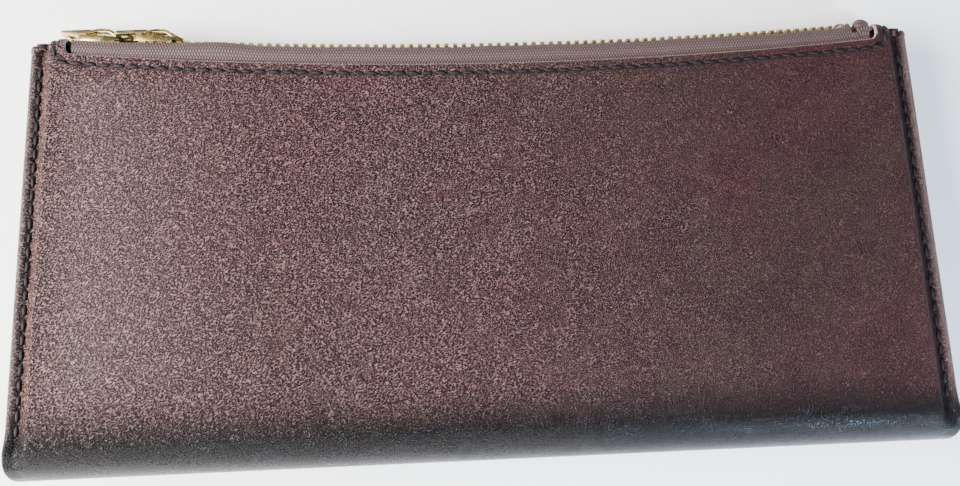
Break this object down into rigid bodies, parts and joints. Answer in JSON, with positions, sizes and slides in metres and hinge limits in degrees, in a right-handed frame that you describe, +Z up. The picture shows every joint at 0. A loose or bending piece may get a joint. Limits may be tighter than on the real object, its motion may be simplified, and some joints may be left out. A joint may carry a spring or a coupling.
{
  "type": "double-zip folding clutch",
  "caption": "Slim leather clutch made of zip pockets joined by a rounded spine, with card slots and slip pockets between them; opens flat like a book.",
  "frame": {"origin": "on the rear face it lies on, half way between the side seams and half way between the spine and the front's zipped edge", "axes": "+X along the zips from closed end to open end, +Y from the spine to the zipped edge, +Z up through the thickness"},
  "size_m": [0.195, 0.0995, 0.0204],
  "materials": {
    "outer_leather": "full-grain burgundy-brown leather, pebbled, semi-matt with a soft sheen",
    "inner_leather": "smooth fine-grained leather, semi-matt",
    "lining_cloth": "plain-woven cotton twill",
    "zip_tape": "woven polyester tape",
    "thread": "dark bonded nylon thread",
    "zip_brass": "lightly antiqued brass",
    "slider_brass": "polished brass"
  },
  "bodies": {
    "rear_half": {"rear_panel": "outer_leather", "rear_inner_panel": "inner_leather", "rear_lining_outer": "lining_cloth", "rear_lining_inner": "lining_cloth", "rear_window_stitches": "thread", "rear_side_stitches": "thread", "rear_tape_outer": "zip_tape", "rear_tape_inner": "zip_tape", "rear_teeth_outer": "zip_brass", "rear_teeth_inner": "zip_brass", "rear_top_stops": "zip_brass", "rear_bottom_stop": "zip_brass", "card_slot_left_1": "inner_leather", "card_slot_left_2": "inner_leather", "card_slot_left_3": "inner_leather", "card_slot_right_1": "inner_leather", "card_slot_right_2": "inner_leather", "card_slot_right_3": "inner_leather"},
    "spine": {"spine_leather": "outer_leather", "spine_lining": "lining_cloth"},
    "front_half": {"front_panel": "outer_leather", "front_inner_panel": "inner_leather", "front_lining_outer": "lining_cloth", "front_lining_inner": "lining_cloth", "front_window_stitches": "thread", "front_side_stitches": "thread", "front_tape_outer": "zip_tape", "front_tape_inner": "zip_tape", "front_teeth_outer": "zip_brass", "front_teeth_inner": "zip_brass", "front_top_stops": "zip_brass", "front_bottom_stop": "zip_brass", "slip_pocket_1": "inner_leather", "slip_pocket_2": "inner_leather"},
    "rear_slider": {"rear_slider_body": "slider_brass", "rear_slider_bridge": "slider_brass", "rear_lock_pin": "slider_brass"},
    "front_slider": {"front_slider_body": "slider_brass", "front_slider_bridge": "slider_brass", "front_lock_pin": "slider_brass"},
    "rear_pull": {"rear_pull_tab": "slider_brass"},
    "front_pull": {"front_pull_tab": "slider_brass"}
  },
  "joints": [
    {"name": "rear_crease", "type": "hinge", "parent": "rear_half", "child": "spine", "pos_m": [0, -0.04498, 0.00179], "axis": [1, 0, 0], "range_deg": [0, 91.82]},
    {"name": "front_crease", "type": "hinge", "parent": "spine", "child": "front_half", "pos_m": [0, -0.04444, 0.019], "axis": [1, 0, 0], "range_deg": [0, 91.82]},
    {"name": "rear_slider_run", "type": "hinge", "parent": "rear_half", "child": "rear_slider", "pos_m": [0, 1.26092, 0.0036], "axis": [0, 0, 1], "range_deg": [0, 7.69], "deforming": ["rear_tape_outer", "rear_tape_inner", "rear_teeth_outer", "rear_teeth_inner"]},
    {"name": "front_slider_run", "type": "hinge", "parent": "front_half", "child": "front_slider", "pos_m": [0, 1.25593, -0.0655], "axis": [0, 0.0635, 0.998], "range_deg": [0, 6.95], "deforming": ["front_tape_outer", "front_tape_inner", "front_teeth_outer", "front_teeth_inner"]},
    {"name": "rear_pull_swing", "type": "hinge", "parent": "rear_slider", "child": "rear_pull", "pos_m": [-0.08884, 0.05171, 0.0036], "axis": [0, 0, -1], "range_deg": [0, 150]},
    {"name": "front_pull_swing", "type": "hinge", "parent": "front_slider", "child": "front_pull", "pos_m": [-0.07308, 0.0481, 0.01131], "axis": [0, -0.0635, -0.998], "range_deg": [0, 150]}
  ],
  "couplings": [
    {"joint": "front_crease", "follows": "rear_crease", "ratio": 1}
  ]
}
